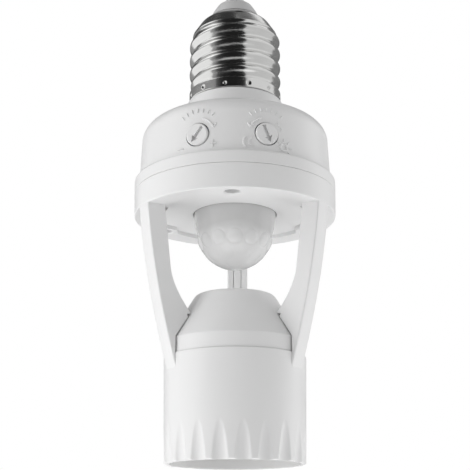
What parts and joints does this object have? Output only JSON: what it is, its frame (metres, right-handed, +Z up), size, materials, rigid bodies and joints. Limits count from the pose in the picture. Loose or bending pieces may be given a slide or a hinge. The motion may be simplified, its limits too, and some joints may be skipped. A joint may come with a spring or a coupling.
{
  "type": "lamp_holder",
  "caption": "White screw-in lamp holder with a motion sensor dome between curved arms, adjuster dials and a fluted lamp socket below",
  "frame": {"origin": "centre of the lower socket's mouth rim, on which the part can stand", "axes": "+Z up towards the screw cap, the front with both dials faces -Y, +X is to the onlooker's right"},
  "size_m": [0.0564, 0.0564, 0.135],
  "materials": {
    "white_plastic": "fine satin moulded white plastic",
    "milky_plastic": "milky sensor lens",
    "plated_metal": "bright plated sheet",
    "brass": "plain brass",
    "cap_insulator_resin": "pale grey turned resin",
    "dark_insulator": "dark insulating resin",
    "socket_base_resin": "pale moulded resin",
    "board_laminate": "bare laminate",
    "blue_plastic": "blue part housings",
    "dark_window": "dark filter window",
    "red_lead": "soft insulation",
    "black_lead": "soft insulation"
  },
  "bodies": {
    "holder": {"cap_shell": "plated_metal", "cap_insulator": "cap_insulator_resin", "cap_contact": "plated_metal", "upper_housing": "white_plastic", "delay_trimmer": "blue_plastic", "light_trimmer": "blue_plastic", "circuit_board": "board_laminate", "relay": "blue_plastic", "dropper_capacitor": "brass", "smoothing_capacitor": "dark_insulator", "control_chip": "dark_insulator", "fuse_resistor": "socket_base_resin", "pir_sensor": "plated_metal", "sensor_window": "dark_window", "dome_lens": "milky_plastic", "lens_retainer": "white_plastic", "lower_frame": "white_plastic", "arm_cover_left": "white_plastic", "arm_cover_right": "white_plastic", "arm_cover_back": "white_plastic", "socket_cover": "white_plastic", "lamp_shell": "plated_metal", "socket_base": "socket_base_resin", "contact_rivet": "brass", "housing_screw_front": "plated_metal", "housing_screw_right": "plated_metal", "housing_screw_left": "plated_metal", "cap_live_lead": "red_lead", "cap_neutral_lead": "black_lead", "lamp_live_lead": "red_lead", "lamp_neutral_lead": "black_lead"},
    "delay_dial": {"delay_dial": "white_plastic"},
    "light_dial": {"light_dial": "white_plastic"},
    "contact_leaf": {"contact_leaf": "brass"}
  },
  "joints": [
    {"name": "delay_dial_turn", "type": "hinge", "parent": "holder", "child": "delay_dial", "pos_m": [-0.00901, -0.02477, 0.083], "axis": [0.342, 0.9397, 0], "range_deg": [-6, 304]},
    {"name": "light_dial_turn", "type": "hinge", "parent": "holder", "child": "light_dial", "pos_m": [0.00901, -0.02477, 0.083], "axis": [-0.342, 0.9397, 0], "range_deg": [-308, 2]},
    {"name": "contact_leaf_bend", "type": "hinge", "parent": "holder", "child": "contact_leaf", "pos_m": [-0.0024, 0, 0.02225], "axis": [0, -1, 0], "range_deg": [0, 6], "stiffness_Nm_per_rad": 0.05}
  ]
}
